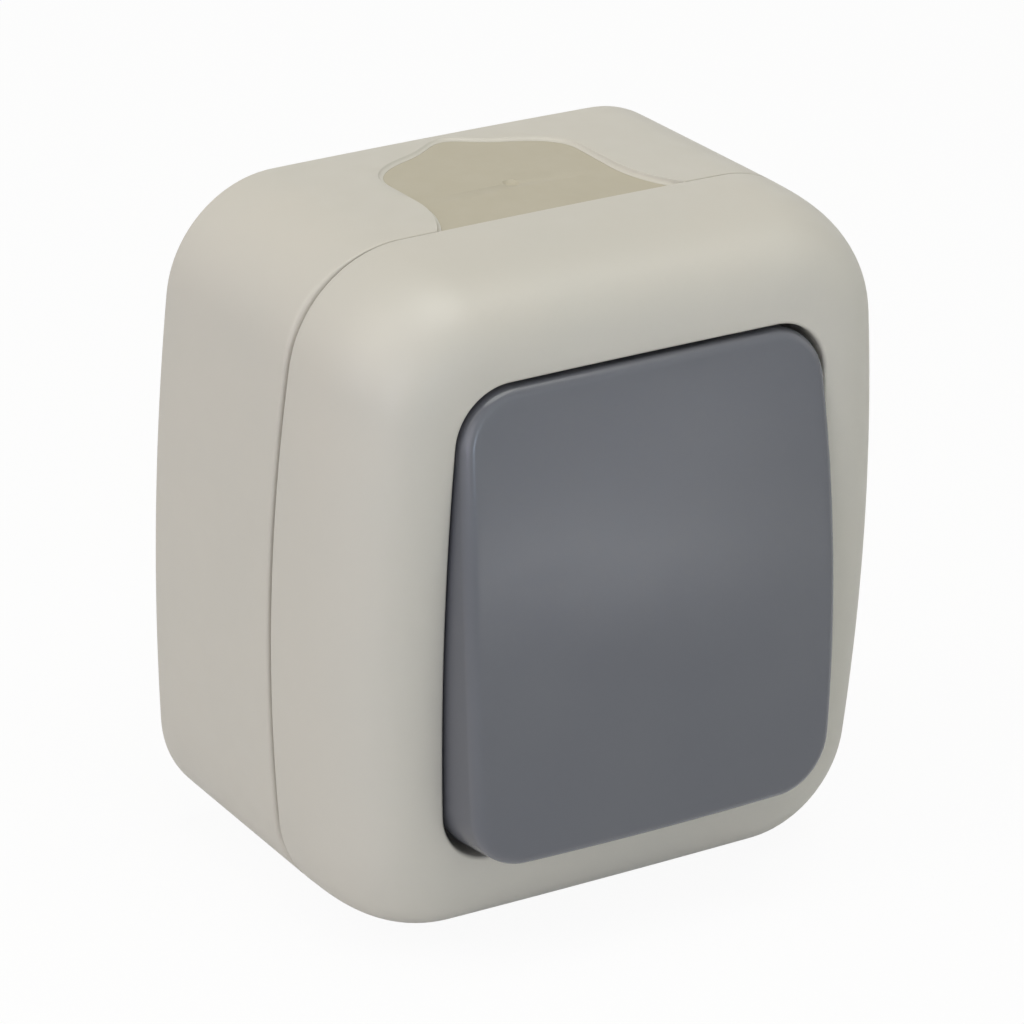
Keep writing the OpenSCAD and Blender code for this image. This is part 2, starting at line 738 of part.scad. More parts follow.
module plunger_spring() {
    coil_r = (plunger_d - spring_wire) / 2 - 0.15;
    length = plunger_top - bore_top - spring_wire - 2 * seat;
    steps = spring_turns * COIL_STEPS;
    start = pivot_d - plunger_top + spring_wire / 2 + seat;
    color(STEEL) tilted()
        stack([for (i = [0:steps])
            let (a = 360 * i / COIL_STEPS, z = start + length * i / steps)
            [for (k = [0:WIRE_SIDES - 1])
                let (t = -360 * k / WIRE_SIDES, r = coil_r + spring_wire / 2 * cos(t))
                [r * cos(a), r * sin(a), z + spring_wire / 2 * sin(t)]]]);
}

// Contacts: the arm leans the other way from the rocker
module arm_pose() {
    facing() translate([0, 0, arm_pivot_d]) rotate([tilt, 0, 0]) children();
}

module contact_arm() {
    color(COPPER) arm_pose() difference() {
        block(arm_w, arm_len, arm_seat, arm_seat + arm_t);
        rotate([0, 90, 0]) cylinder(r = 0.55, h = arm_w + 2 * past, center = true);
    }
}

module arm_tips() {
    color(SILVER) arm_pose() for (s = [-1, 1]) translate([0, s * contact_y, 0])
        rod(tip_d, arm_seat - tip_t, arm_seat);
}

module common_strip() {
    edge_w = 1.6;
    edge_h = 1.2;
    top = arm_pivot_d;
    color(COPPER) facing() union() {
        translate([-terminal_x - strip_w / 2, -strip_w / 2, chamber_floor_d])
            cube([terminal_x + strip_w / 2 + arm_w / 2, strip_w, strip_t]);
        translate([-terminal_x - strip_w / 2, 0, chamber_floor_d])
            cube([strip_w, contact_y + terminal_s / 2, strip_t]);
        block(arm_w, edge_w, chamber_floor_d, top - edge_h);
        translate([-arm_w / 2, 0, 0]) rotate([90, 0, 90]) linear_extrude(arm_w)
            polygon([[-edge_w / 2, top - edge_h], [edge_w / 2, top - edge_h], [0, top]]);
    }
}

module way_strip(s) {
    post_top = fixed_face_d - tip_t;
    color(COPPER) facing() union() {
        translate([-strip_w / 2, s * contact_y - strip_w / 2, chamber_floor_d])
            cube([terminal_x + terminal_s / 2 + strip_w / 2, strip_w, strip_t]);
        translate([0, s * contact_y, 0]) block(strip_w - 1, strip_w - 1, chamber_floor_d, post_top);
    }
}

module way_one_strip() {
    way_strip(1);
}
module way_two_strip() {
    way_strip(-1);
}

module fixed_tips() {
    color(SILVER) facing() for (s = [-1, 1]) translate([0, s * contact_y, 0])
        rod(tip_d, fixed_face_d - tip_t, fixed_face_d);
}

// Terminals
module terminal(floor_d) {
    wire_d = floor_d + wire_bore / 2 + 1.2;
    difference() {
        block(terminal_s, terminal_s, floor_d, floor_d + terminal_d);
        translate([0, 0, wire_d]) rotate([90, 0, 0])
            cylinder(d = wire_bore, h = terminal_s + 2 * past, center = true);
        rod(clamp_d + 0.02, wire_d, floor_d + terminal_d + past);
    }
}

module clamp_screw(floor_d) {
    head_d = floor_d + terminal_d + 0.6;
    length = head_d - (floor_d + wire_bore + 1.4);
    screw(clamp_d, clamp_head_d, clamp_head_h, head_d, length);
}

terminal_floor_d = chamber_floor_d + strip_t;

module common_terminal() {
    color(BRASS) facing() at_common() terminal(terminal_floor_d);
}
module way_one_terminal() {
    color(BRASS) facing() at_way(1) terminal(terminal_floor_d);
}
module way_two_terminal() {
    color(BRASS) facing() at_way(-1) terminal(terminal_floor_d);
}
module terminal_screws() {
    color(STEEL) facing() at_terminals() clamp_screw(terminal_floor_d);
}
module earth_terminal() {
    color(BRASS) facing() translate([earth_x, earth_y, 0]) terminal(earth_floor_d);
}
module earth_screw() {
    color(STEEL) facing() translate([earth_x, earth_y, 0]) clamp_screw(earth_floor_d);
}

// Rocker
EDGE_STEPS = 4;
FACE_STEPS = 5;
clip_t = 1.4;
clip_hook = 0.7;
clip_w = 6;
clip_side = 1.7;
clip_x = carrier_w / 2 - clip_w / 2 - clip_side;

// Outline of the rocker, moved inwards by inset
function rocker_loop(inset) =
    outline(rocker_w / 2 - inset, rocker_h / 2 - inset, rocker_r - inset, rocker_bow, rocker_end_bow);

// Rise of the face, crowned over its height and its width
function crown(x, y) =
    rocker_crown * (1 - (2 * y / rocker_h) ^ 2) + rocker_dome * (1 - (2 * x / rocker_w) ^ 2);
function crowned(loop, d) = [for (p = loop) [p.x, p.y, d + crown(p.x, p.y)]];

// Loops that fill a crowned face from its middle outwards, without its edge
function face_loops(loop, d) =
    [for (i = [0:FACE_STEPS - 1]) crowned(loop * (0.04 + 0.96 * i / FACE_STEPS), d)];

function reversed(list) = [for (i = [len(list) - 1:-1:0]) list[i]];

module rocker_shell() {
    inner = rocker_loop(rocker_wall);
    inner_d = rocker_edge_d - rocker_wall;
    face = rocker_loop(rocker_edge);
    stack(concat(
        face_loops(inner, inner_d),
        [crowned(inner, inner_d), at_depth(inner, skirt_back_d), at_depth(rocker_loop(0), skirt_back_d)],
        [for (i = [0:EDGE_STEPS])
            let (t = 90 * i / EDGE_STEPS)
            crowned(rocker_loop(rocker_edge * (1 - cos(t))), rocker_edge_d - rocker_edge * (1 - sin(t)))],
        reversed(face_loops(face, rocker_edge_d))));
}

// Ribs that press on the carrier plate, and the clips that grip its ends
module rocker() {
    inside_d = rocker_edge_d - 0.7 * rocker_wall + crown(clip_x, 0);
    plate_back = pivot_d - carrier_t / 2;
    clip_y = carrier_h / 2 + seat;
    color(SLATE) tilted() union() {
        rocker_shell();
        for (sx = [-1, 1]) translate([sx * clip_x, 0, 0]) {
            block(1.4, carrier_h, plate_back + carrier_t + seat, inside_d);
            for (sy = [-1, 1]) {
                translate([0, sy * (clip_y + clip_t / 2), 0])
                    block(clip_w, clip_t, plate_back - seat - 1, inside_d);
                translate([0, sy * (clip_y + clip_t / 2 - clip_hook), 0])
                    block(clip_w, clip_t, plate_back - seat - 1, plate_back - seat);
            }
        }
    }
}

back_box();
front_cover();
rocker();
top_entry_seal();
bottom_entry_seal();
box_gasket();
cover_screws();
mechanism_base();
mechanism_screws();
bearing_frame();
mechanism_seal();
rocker_carrier();
plunger();
plunger_spring();
contact_arm();
arm_tips();
common_strip();
way_one_strip();
way_two_strip();
fixed_tips();
common_terminal();
way_one_terminal();
way_two_terminal();
terminal_screws();
earth_terminal();
earth_screw();
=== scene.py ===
import json
import math

import bmesh
import bpy
import numpy as np
from mathutils import Matrix, Vector


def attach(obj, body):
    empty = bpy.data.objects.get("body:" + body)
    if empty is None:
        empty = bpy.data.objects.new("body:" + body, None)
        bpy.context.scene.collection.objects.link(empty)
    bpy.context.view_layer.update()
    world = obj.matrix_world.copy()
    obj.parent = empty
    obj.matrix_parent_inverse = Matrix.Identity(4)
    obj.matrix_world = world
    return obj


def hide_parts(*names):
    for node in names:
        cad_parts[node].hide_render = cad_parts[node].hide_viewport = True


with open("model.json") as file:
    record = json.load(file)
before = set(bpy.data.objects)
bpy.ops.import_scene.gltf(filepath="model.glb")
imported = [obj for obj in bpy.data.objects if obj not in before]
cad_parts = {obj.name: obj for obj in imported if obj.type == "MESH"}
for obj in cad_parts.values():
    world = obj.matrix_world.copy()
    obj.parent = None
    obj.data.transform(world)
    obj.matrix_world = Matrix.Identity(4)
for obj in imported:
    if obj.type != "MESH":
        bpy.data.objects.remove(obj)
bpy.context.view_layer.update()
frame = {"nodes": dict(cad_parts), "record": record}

MM = 0.001

# Driving sizes in millimetres. Loops are drawn with x to the right, y up and a depth out from the wall.
HOUSING_W, HOUSING_H = 66.0, 71.8
BACK_W, BACK_H = 64.6, 70.5
SEAM_D, FRONT_D = 24.4, 40.1
CORNER_R, BACK_CORNER_R = 12.5, 12.3
SIDE_BOW, BACK_SIDE_BOW, END_BOW = 3.1, 2.0, 0.3
BOX_WALL, BACK_WALL, BACK_EDGE, FLOOR_FILLET = 2.4, 2.2, 0.5, 1.5
SEAM_GAP, END_SEAM_GAP, TONGUE_H, RIM_T, RIM_CLEAR, GASKET_T = 0.7, 0.12, 2.0, 1.1, 0.15, 1.0
# Rounding of the box's rim: everywhere, more on the sides, and more again at the corners
RIM_EDGE, RIM_EDGE_SIDE, RIM_EDGE_CORNER = 0.12, 0.25, 0.4
# How fast the joint opens where the outline turns from an end to a side, and where that starts
JOINT_RISE, JOINT_START = 1.6, 0.35
COVER_STRAIGHT, FULLNESS, COVER_WALL, COVER_EDGE, REBATE_STEP = 1.3, 2.67, 2.2, 0.2, 0.4
OPENING_W, OPENING_H, OPENING_R = 44.8, 51.4, 6.0
OPENING_BOW, OPENING_END_BOW, LIP_R = 0.9, 0.1, 0.4
WELL_WALL, FLOOR_BACK_D, FLOOR_FRONT_D = 1.6, 28.0, 29.8
WINDOW_W, WINDOW_H, WINDOW_R = 33.6, 21.4, 2.0
SIDE_GAP, END_GAP = 0.3, 0.75
ROCKER_PROUD, ROCKER_CROWN, ROCKER_DOME, ROCKER_BOW, ROCKER_R = 2.7, 1.2, 0.8, 0.94, 6.2
ROCKER_END_BOW, ROCKER_EDGE, ROCKER_WALL, SKIRT_BACK_D = 0.05, 1.2, 1.6, 36.012
TILT, PIVOT_D = 6.6, 38.3
CARRIER_H, CARRIER_T = 30.0, 3.0
ENTRY_W, SHOULDER_D, SHOULDER_ROUND, SHOULDER_FULLNESS = 23.8, 3.55, 6.5, 2.2
BELL_RISE, BELL_W, FLARE_RUN, ENTRY_FLARE = 2.25, 3.3, 8.4, 2.9
RECESS_BACK, RECESS_SEAM, ENTRY_SLOPE = 0.2, 0.7, 0.55
FLANGE_W, FLANGE_T, TAB_T, NOTCH, NOTCH_RUN = 1.6, 1.2, 1.0, 0.5, 1.3
SEAL_EDGE_IN, SEAL_EDGE_DOWN = 0.05, 0.04
DIMPLE_D, DIMPLE_DEPTH = 3.0, 15.0
# Share of the dimple's radius, and height over the seal's face
DIMPLE_SECTION = ((1.0, 0.3), (0.62, 0), (0.45, -0.2), (0.25, -0.3))
POST_D, POST_EDGE, SCREW_D, SCREW_CLEAR, SCREW_BITE = 7.0, 0.2, 3.0, 0.4, 0.02
COVER_SCREW_X, COVER_SCREW_Y, COVER_SCREW_LEN = 16.6, 19.9, 14.0
LUG_X, BASE_BACK_D = 24.5, 7.0
WALL_PITCH, SLOT_D, SLOT_LEN, SLOT_BOSS_RIM, SLOT_BOSS_H = 52.0, 4.2, 8.0, 4.0, 1.0
KNOCK_D, KNOCK_GROOVE = 20.0, 0.8
EARTH_X, EARTH_Y, EARTH_SEAT_T, EARTH_POCKET, EARTH_RIM, TERMINAL_S = -20.0, -21.0, 1.8, 1.5, 2.0, 7.6
CLIP_X, CLIP_W, CLIP_T, CLIP_HOOK, HOOK_H, RIB_T = 8.0, 6.0, 1.4, 0.7, 1.0, 1.4
SEAT = 0.1

ROCKER_W = OPENING_W - 2 * SIDE_GAP
ROCKER_H = OPENING_H - 2 * END_GAP
ROCKER_EDGE_D = FRONT_D + ROCKER_PROUD
POST_TOP_D = FLOOR_BACK_D - SEAT
EARTH_FLOOR_D = BACK_WALL + EARTH_SEAT_T

# Points on the side, the corner and the end of a quarter outline
QUARTER = (10, 24, 10)

# Faces that meet at more than this angle, in degrees, keep a crease
CREASE = 30


# Shapes

def arc(middle, radius, start, stop, count):
    """Points on an arc, without its last one; angles in radians."""
    t = np.linspace(start, stop, count, endpoint=False)
    return middle + radius * np.column_stack([np.cos(t), np.sin(t)])


def outline(half_w, half_h, r, bow, end_bow):
    """Closed outline with bowed sides and ends and round corners, from the middle of the right side."""
    side_r = (half_h ** 2 + bow ** 2) / (2 * bow)
    end_r = (half_w ** 2 + end_bow ** 2) / (2 * end_bow)
    side = np.array([half_w - side_r, 0.0])
    end = np.array([0.0, half_h - end_r])
    across = end - side
    span = np.linalg.norm(across)
    e = across / span
    along = ((side_r - r) ** 2 - (end_r - r) ** 2 + span ** 2) / (2 * span)
    rise = math.sqrt((side_r - r) ** 2 - along ** 2)
    mid = side + along * e + rise * np.array([-e[1], e[0]])
    t1 = math.atan2(mid[1], mid[0] - side[0])
    t2 = math.pi / 2 - math.atan2(mid[0], mid[1] - end[1])
    q = np.vstack([arc(side, side_r, 0, t1, QUARTER[0]),
                   arc(mid, r, t1, t2, QUARTER[1]),
                   arc(end, end_r, t2, math.pi / 2, QUARTER[2])])
    half = np.vstack([q, [[0, half_h]], (q[1:] * [-1, 1])[::-1]])
    return np.vstack([half, -half])


def mix(p, q, w):
    return p * (1 - w) + q * w


def at(loop, depth):
    """The loop at a depth, which may differ from point to point."""
    return np.column_stack([loop, np.broadcast_to(depth, len(loop))])


def box_loop(depth, inset):
    w = depth / SEAM_D
    return outline(mix(BACK_W, HOUSING_W, w) / 2 - inset, mix(BACK_H, HOUSING_H, w) / 2 - inset,
                   mix(BACK_CORNER_R, CORNER_R, w) - inset, mix(BACK_SIDE_BOW, SIDE_BOW, w), END_BOW)


def opening_loop(grow):
    return outline(OPENING_W / 2 + grow, OPENING_H / 2 + grow, OPENING_R + grow,
                   OPENING_BOW, OPENING_END_BOW)


def rocker_loop(inset):
    return outline(ROCKER_W / 2 - inset, ROCKER_H / 2 - inset, ROCKER_R - inset,
                   ROCKER_BOW, ROCKER_END_BOW)


def facing(points):
    """From lying on the back to facing the room, in metres."""
    p = np.asarray(points, float)
    return np.column_stack([p[:, 0], -p[:, 2], p[:, 1]]) * MM


def tilted(points):
    """As facing, after the tilt about the rocker's pivot."""
    p = np.array(points, float)
    t = math.radians(TILT)
    y, z = p[:, 1].copy(), p[:, 2] - PIVOT_D
    p[:, 1] = y * math.cos(t) + z * math.sin(t)
    p[:, 2] = -y * math.sin(t) + z * math.cos(t) + PIVOT_D
    return facing(p)


# Meshes

def linked(name, data):
    """New object with the data, linked to the scene."""
    obj = bpy.data.objects.new(name, data)
    bpy.context.scene.collection.objects.link(obj)
    return obj


def mesh_object(name, points, faces):
    mesh = bpy.data.meshes.new(name)
    mesh.from_pydata([tuple(p) for p in points], [], faces)
    bm = bmesh.new()
    bm.from_mesh(mesh)
    bmesh.ops.recalc_face_normals(bm, faces=bm.faces)
    bm.to_mesh(mesh)
    bm.free()
    return linked(name, mesh)


def loft(name, loops, place=facing, closed=False):
    """Skin through loops of equal length. Closed joins the last to the first, else the ends are capped."""
    n, count = len(loops[0]), len(loops)
    faces = []
    for i in range(count if closed else count - 1):
        j = (i + 1) % count
        faces += [(i * n + k, i * n + (k + 1) % n, j * n + (k + 1) % n, j * n + k) for k in range(n)]
    if not closed:
        faces += [tuple(range(n)), tuple((count - 1) * n + k for k in range(n))]
    return mesh_object(name, place(np.vstack(loops)), faces)


def circle(r, x=0.0, y=0.0, sides=64):
    return np.array([x, y]) + arc(np.zeros(2), r, 0, 2 * math.pi, sides)


def turned(name, profile, x=0.0, y=0.0):
    """Solid turned from (radius, depth) pairs about a line out of the wall."""
    return loft(name, [at(circle(r, x, y), d) for r, d in profile])


def block(name, w, h, start, stop, x=0.0, y=0.0, place=facing):
    loop = np.array([[w, h], [-w, h], [-w, -h], [w, -h]]) / 2 + [x, y]
    return loft(name, [at(loop, start), at(loop, stop)], place)


def cut(obj, cutters):
    """Takes the cutters out of the object and deletes them."""
    for c in cutters:
        mod = obj.modifiers.new("cut", "BOOLEAN")
        mod.operation, mod.solver, mod.object = "DIFFERENCE", "EXACT", c
    done = bpy.data.meshes.new_from_object(obj.evaluated_get(bpy.context.evaluated_depsgraph_get()))
    obj.modifiers.clear()
    obj.data = done
    for c in cutters:
        bpy.data.objects.remove(c)
    return obj


def joined(name, parts):
    """One object from several closed ones."""
    bm = bmesh.new()
    for p in parts:
        bm.from_mesh(p.data)
        bpy.data.objects.remove(p)
    mesh = bpy.data.meshes.new(name)
    bm.to_mesh(mesh)
    bm.free()
    return linked(name, mesh)


def finished(obj, name, body, slot, node):
    """Name, smooth shading up to a crease, the slot's material, body, slot and the node it stands for."""
    obj.name = obj.data.name = name
    obj.data.shade_smooth()
    obj.data.set_sharp_from_angle(angle=math.radians(CREASE))
    obj.data.materials.clear()
    obj.data.materials.append(MATERIALS[slot])
    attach(obj, body)
    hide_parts(node)


# Materials

def add(tree, kind, links=(), **inputs):
    """Adds a node, sets its inputs and attributes, and links what comes in."""
    node = tree.nodes.new("ShaderNode" + kind)
    for key, value in inputs.items():
        label = key.replace("_", " ")
        if hasattr(node, key):
            setattr(node, key, value)
        else:
            node.inputs[label].default_value = value
    for name, socket in dict(links).items():
        tree.links.new(socket, node.inputs[name])
    return node


def noise(tree, where, size_mm, detail=2.0):
    return add(tree, "TexNoise", {"Vector": where}, Scale=1 / (size_mm * MM), Detail=detail,
               Roughness=0.5).outputs["Fac"]


def ranged(tree, value, low, high):
    """Maps the middle of a noise, 0.3 to 0.7, to a range."""
    n = add(tree, "MapRange", {"Value": value})
    for name, v in (("From Min", 0.3), ("From Max", 0.7), ("To Min", low), ("To Max", high)):
        n.inputs[name].default_value = v
    return n.outputs["Result"]


def blended(tree, factor, a, b):
    n = tree.nodes.new("ShaderNodeMix")
    n.data_type = "RGBA"
    n.inputs["A"].default_value = (*a, 1)
    n.inputs["B"].default_value = (*b, 1)
    tree.links.new(factor, n.inputs["Factor"])
    return n.outputs["Result"]


def surface(name, colour_a, colour_b, patch_mm, rough, rough_mm, grain_mm, grain_depth_mm,
            stretch=(1, 1, 1), **shader):
    """Material with two shades in patches, a roughness that wanders and a fine grain."""
    material = bpy.data.materials.new(name)
    material.use_nodes = True
    tree = material.node_tree
    tree.nodes.clear()
    where = add(tree, "TexCoord").outputs["Object"]
    grain_at = add(tree, "Mapping", {"Vector": where}, Scale=stretch).outputs["Vector"]
    shade = ranged(tree, noise(tree, where, patch_mm, 3.0), 0, 1)
    wander = ranged(tree, noise(tree, where, rough_mm), *rough)
    bump = add(tree, "Bump", {"Height": noise(tree, grain_at, grain_mm, 3.0)}, Strength=1.0,
               Distance=grain_depth_mm * MM)
    bsdf = add(tree, "BsdfPrincipled", {"Base Color": blended(tree, shade, colour_a, colour_b),
                                        "Roughness": wander, "Normal": bump.outputs["Normal"]})
    for key, value in shader.items():
        bsdf.inputs[key.replace("_", " ")].default_value = value
    add(tree, "OutputMaterial", {"Surface": bsdf.outputs["BSDF"]})
    return material


MATERIALS = {
    "housing": surface("housing_plastic", (0.592, 0.568, 0.510), (0.606, 0.576, 0.514), 14, (0.38, 0.46), 3,
                       0.22, 0.0016, IOR=1.49),
    "rocker": surface("rocker_plastic", (0.127, 0.132, 0.153), (0.134, 0.139, 0.158), 16, (0.19, 0.25), 4,
                      0.22, 0.0016, IOR=1.49),
    "entry_seal": surface("seal_plastic", (0.486, 0.447, 0.352), (0.500, 0.460, 0.366), 6, (0.52, 0.62), 2,
                          0.3, 0.002, IOR=1.47),
    "gasket": surface("gasket_rubber", (0.020, 0.020, 0.021), (0.034, 0.034, 0.035), 2, (0.62, 0.78), 1,
                      0.15, 0.004, IOR=1.50),
    "mechanism_plastic": surface("mechanism_plastic", (0.680, 0.650, 0.560), (0.720, 0.690, 0.610), 5,
                                 (0.40, 0.52), 2, 0.2, 0.002, IOR=1.50),
    "screw_steel": surface("zinc_steel", (0.600, 0.610, 0.640), (0.690, 0.700, 0.710), 1.5, (0.26, 0.42), 0.8,
                           0.12, 0.002, Metallic=1.0),
    "spring_steel": surface("spring_steel", (0.480, 0.480, 0.490), (0.560, 0.560, 0.570), 0.8, (0.24, 0.36),
                            0.4, 0.06, 0.001, stretch=(1, 0.1, 1), Metallic=1.0),
    "contact_bronze": surface("contact_bronze", (0.720, 0.420, 0.220), (0.790, 0.500, 0.300), 2.5,
                              (0.26, 0.42), 1, 0.12, 0.002, stretch=(0.15, 1, 1), Metallic=1.0),
    "contact_silver": surface("contact_silver", (0.840, 0.840, 0.850), (0.900, 0.890, 0.880), 1,
                              (0.22, 0.36), 0.5, 0.1, 0.001, Metallic=1.0),
    "terminal_brass": surface("terminal_brass", (0.760, 0.560, 0.240), (0.820, 0.640, 0.320), 2,
                              (0.24, 0.40), 1, 0.1, 0.002, stretch=(1, 1, 0.2), Metallic=1.0),
}


# Cover: one ring section that runs from the seam over the rounding and lip into the well and back

def rounding(start, stop, d0, d1, steps):
    """Loops of a full rounding from one outline to another."""
    loops = []
    for k in range(steps + 1):
        t = math.pi / 2 * k / steps
        w = 1 - math.cos(t) ** (2 / FULLNESS) if k < steps else 1.0
        loops.append(at(mix(start, stop, w), d0 + (d1 - d0) * math.sin(t) ** (2 / FULLNESS)))
    return loops


def make_cover():
    seam, skin_in = box_loop(SEAM_D, 0), box_loop(SEAM_D, COVER_WALL)
    rim_in = box_loop(SEAM_D, RIM_T)
    lip, well = opening_loop(LIP_R), opening_loop(WELL_WALL)
    window = outline(WINDOW_W / 2, WINDOW_H / 2, WINDOW_R, 0.02, 0.02)
    rebate_d = SEAM_D + TONGUE_H + GASKET_T + 2 * RIM_CLEAR
    loops = [at(box_loop(SEAM_D, COVER_EDGE), SEAM_D)]
    loops += [at(box_loop(SEAM_D, COVER_EDGE * (1 - math.sin(t))), SEAM_D + COVER_EDGE * (1 - math.cos(t)))
              for t in np.linspace(0.4, math.pi / 2, 4)]
    loops += rounding(seam, lip, SEAM_D + COVER_STRAIGHT, FRONT_D, 36)
    loops += [at(opening_loop(LIP_R * (1 - math.sin(t))), FRONT_D - LIP_R * (1 - math.cos(t)))
              for t in np.linspace(0, math.pi / 2, 6)[1:]]
    loops += [at(opening_loop(0), FLOOR_FRONT_D), at(window, FLOOR_FRONT_D), at(window, FLOOR_BACK_D),
              at(well, FLOOR_BACK_D)]
    loops += rounding(skin_in, well, rebate_d + REBATE_STEP, FRONT_D - COVER_WALL, 12)[::-1]
    loops += [at(skin_in, rebate_d), at(rim_in, rebate_d), at(rim_in, SEAM_D)]
    shell = loft("cover_shell", loops, closed=True)
    hole_r = (SCREW_D + SCREW_CLEAR) / 2
    holes = [turned("hole", [(hole_r, FLOOR_BACK_D - 1), (hole_r, FLOOR_FRONT_D + 1)],
                    -s * COVER_SCREW_X, s * COVER_SCREW_Y) for s in (-1, 1)]
    return cut(shell, holes)


# Box with its cable entries

def entry_half(d):
    """Half width of a cable entry in front of its shoulders."""
    return ENTRY_W / 2 + ENTRY_FLARE * (np.maximum(0, d - SEAM_D + FLARE_RUN) / FLARE_RUN) ** 2


def entry_outline(grow, end_d, from_d=0.0):
    """Outline of a cable entry as x and depth: a bell with round shoulders that flares towards the seam."""
    t = np.linspace(0, math.pi / 2, 48)
    x = (ENTRY_W / 2 + grow) * np.sin(t) ** (2 / SHOULDER_FULLNESS)
    shoulder = SHOULDER_D + SHOULDER_ROUND - (SHOULDER_ROUND + grow) * np.cos(t) ** (2 / SHOULDER_FULLNESS)
    bell = np.column_stack([x, shoulder - BELL_RISE * np.exp(-(x / BELL_W) ** 2)])
    d = np.linspace(SHOULDER_D + SHOULDER_ROUND, end_d, 18)[1:]
    right = np.vstack([bell, np.column_stack([entry_half(d) + grow, d])])
    left = (right[1:] * [-1, 1])[::-1]
    loop = np.vstack([right, left])
    loop[:, 1] = np.maximum(loop[:, 1], from_d)
    return loop


def entry_loop(below, sunk, grow, end_d, from_d=0.0):
    """Loop of an entry below the box's top, or below the sunk face for a share of its recess."""
    p = entry_outline(grow, end_d, from_d)
    w = p[:, 1] / SEAM_D
    top = mix(BACK_H, HOUSING_H, w) / 2 - sunk * mix(RECESS_BACK, RECESS_SEAM, w)
    return np.column_stack([p[:, 0], top - below, p[:, 1]])


# Section of the wall round an entry, from its soft upper edge to its foot: growth, share of the recess
ENTRY_WALL = [(0.15, 0.0), (0.05, 0.03), (-0.02, 0.11), (-0.06, 0.24), (-0.10, 0.43), (-0.17, 0.63),
              (-0.28, 0.82), (-0.42, 0.95), (-ENTRY_SLOPE, 1.0)]


def entry_cutter(flip):
    deep = SEAM_D + TONGUE_H + 1
    loops = [entry_loop(-1.0, 0, ENTRY_WALL[0][0] + 1.0, deep)]
    loops += [entry_loop(0, share, grow, deep) for grow, share in ENTRY_WALL]
    loops.append(entry_loop(BOX_WALL + 2, 0, -ENTRY_SLOPE, deep))
    return loft("entry", [loop * [1, flip, 1] for loop in loops])


def slot_outline(side):
    """Outline of the upper (1) or lower (-1) wall screw slot."""
    y, run = side * WALL_PITCH / 2, (SLOT_LEN - SLOT_D) / 2
    return np.vstack([arc(np.array([0, y + run]), SLOT_D / 2, 0, math.pi, 24),
                      arc(np.array([0, y - run]), SLOT_D / 2, math.pi, 2 * math.pi, 24)])


def slot_cutter(side, start=-1, stop=BACK_WALL + 1):
    return loft("slot", [at(slot_outline(side), start), at(slot_outline(side), stop)])


